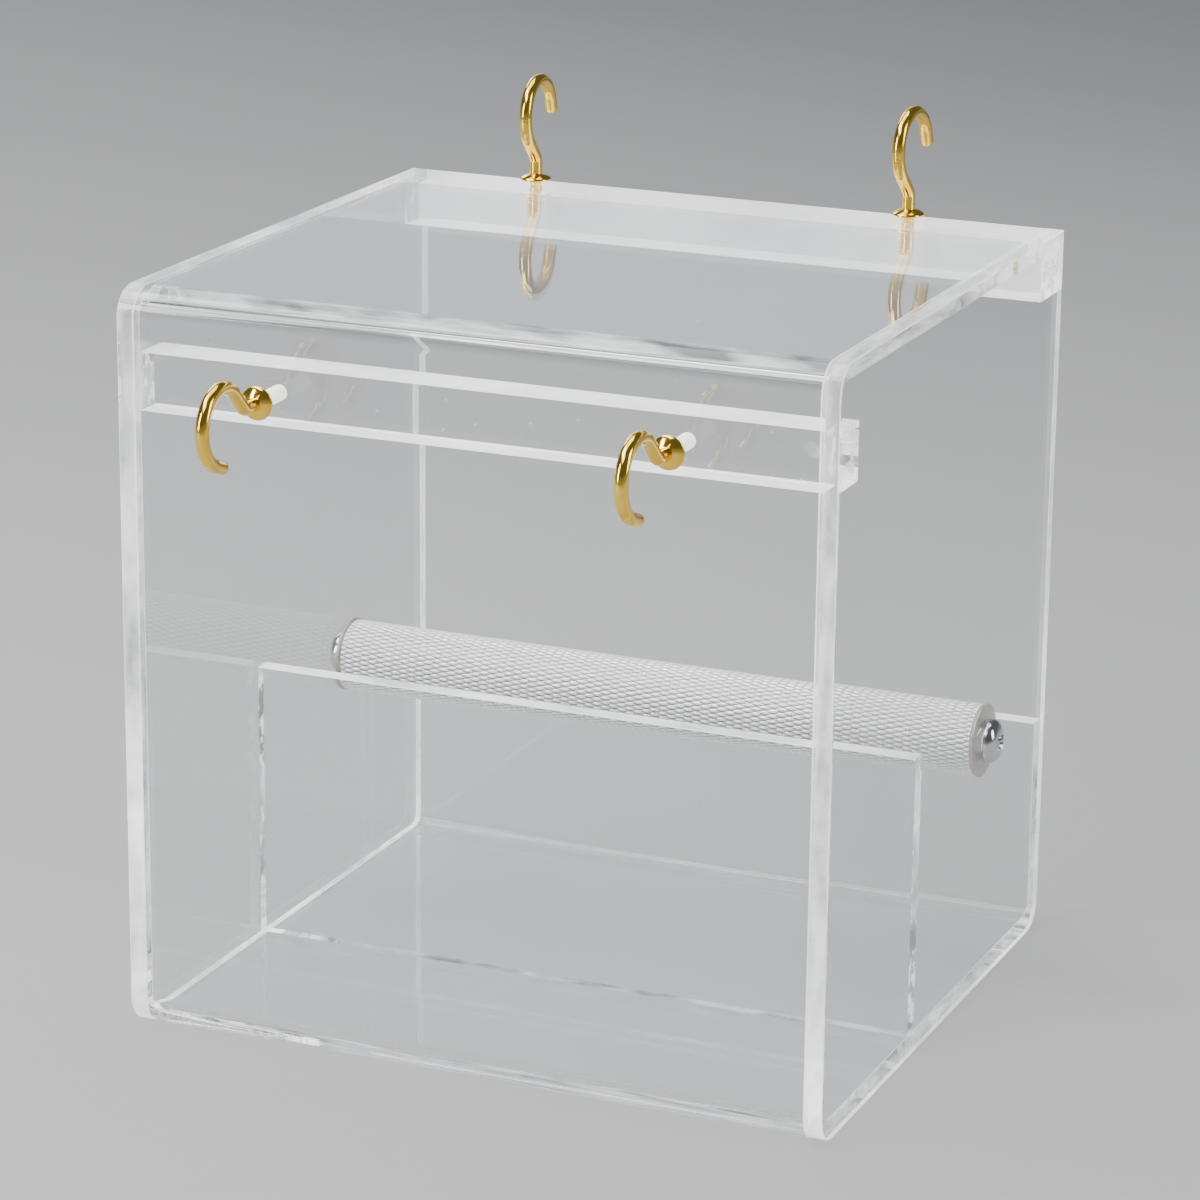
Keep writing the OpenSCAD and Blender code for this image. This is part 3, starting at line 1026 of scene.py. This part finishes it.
def build_floor():
    n = Nodes("pale_floor")
    tone = n.noise(3, 4)
    grain = n.noise(700, 3)
    away = n.add("ShaderNodeVectorMath", {0: n.position()}, operation="LENGTH").outputs["Value"]
    n.finish(n.add("ShaderNodeBsdfPrincipled", {
        "Emission Color": (1, 1, 1, 1),
        # painted glow: the floor shines more the farther it is from the middle
        "Emission Strength": n.ramp(away, 0.9, 2.6, 0.0, 0.24),
        "Base Color": n.blend_colour(tone, (0.36, 0.364, 0.37), (0.39, 0.39, 0.395)),
        "Roughness": 0.75,
        "Normal": n.bump(grain, 0.05, 0.0002),
    }).outputs[0])
    bpy.ops.mesh.primitive_plane_add(size=14, location=(0, 2, Z0 - 0.0002))
    floor = bpy.context.object
    floor.name = "floor"
    floor.data.materials.append(n.owner)


def soft_light(name, place, aim, size, power, colour=(1, 1, 1)):
    light = bpy.data.lights.new(name, "AREA")
    light.shape = "RECTANGLE"
    light.size, light.size_y = size
    light.energy = power
    light.color = colour
    obj = bpy.data.objects.new(name, light)
    obj.location = place
    obj.rotation_euler = (Vector(aim) - Vector(place)).to_track_quat("-Z", "Y").to_euler()
    bpy.context.scene.collection.objects.link(obj)


GLOW_WAY = Vector((-0.52, 0.82, 0.30)).normalized()
GLOW_RANGE = (0.90, 0.995, 0.14, 1.1)
HORIZON_RANGE = (0.0, 0.3, 0.2, 0.0)


def studio_world():
    """Dim surroundings with a soft glow behind the object and a pale band along the horizon."""
    n = Nodes("studio", "worlds")
    way = n.add("ShaderNodeTexCoord").outputs["Generated"]
    facing = n.add("ShaderNodeVectorMath", {0: way, 1: GLOW_WAY}, operation="DOT_PRODUCT").outputs["Value"]
    height = n.math("ABSOLUTE", n.add("ShaderNodeSeparateXYZ", {0: way}).outputs["Z"])
    strength = n.math("ADD", n.soft_step(facing, GLOW_RANGE), n.soft_step(height, HORIZON_RANGE))
    sky = n.add("ShaderNodeBackground", {"Color": (0.86, 0.90, 0.96, 1), "Strength": strength})
    n.add("ShaderNodeOutputWorld", {"Surface": sky.outputs[0]})
    bpy.context.scene.world = n.owner


def build_light():
    studio_world()
    middle = (0, 0, 0.08)
    soft_light("top_softbox", (-0.25, 0.15, 1.25), middle, (1.1, 0.7), 9)
    soft_light("rear_softbox", (-1.3, 1.1, 1.0), middle, (0.7, 0.5), 6)
    soft_light("side_softbox", (1.2, 0.1, 0.60), middle, (0.35, 0.8), 6)
    soft_light("front_strip", (-0.75, -1.0, 0.55), middle, (0.2, 0.8), 11)
    soft_light("bend_strip", (-0.45, -0.45, 1.2), middle, (1.3, 0.45), 14)


CAMERA_AZIMUTH = 23.13
CAMERA_ELEVATION = 16.80
CAMERA_ROLL = 0.60
CAMERA_LENS = 132.34
CAMERA_DISTANCE = 0.968
CAMERA_AIM = Vector((-0.0009, 0.0007, 0.0872))


def build_camera():
    yaw, pitch, roll = (math.radians(a) for a in (CAMERA_AZIMUTH, CAMERA_ELEVATION, CAMERA_ROLL))
    forward = Vector((-math.sin(yaw) * math.cos(pitch), math.cos(yaw) * math.cos(pitch), -math.sin(pitch)))
    right = Vector((math.cos(yaw), math.sin(yaw), 0))
    up = right.cross(forward)
    right, up = right * math.cos(roll) + up * math.sin(roll), up * math.cos(roll) - right * math.sin(roll)
    data = bpy.data.cameras.new("camera")
    data.lens = CAMERA_LENS
    data.sensor_width = 36
    camera = bpy.data.objects.new("camera", data)
    turn = Matrix((right, up, -forward)).transposed().to_4x4()
    camera.matrix_world = Matrix.Translation(CAMERA_AIM - forward * CAMERA_DISTANCE) @ turn
    bpy.context.scene.collection.objects.link(camera)
    bpy.context.scene.camera = camera


build_box()
build_hooks()
build_perch()
build_floor()
build_light()
build_camera()
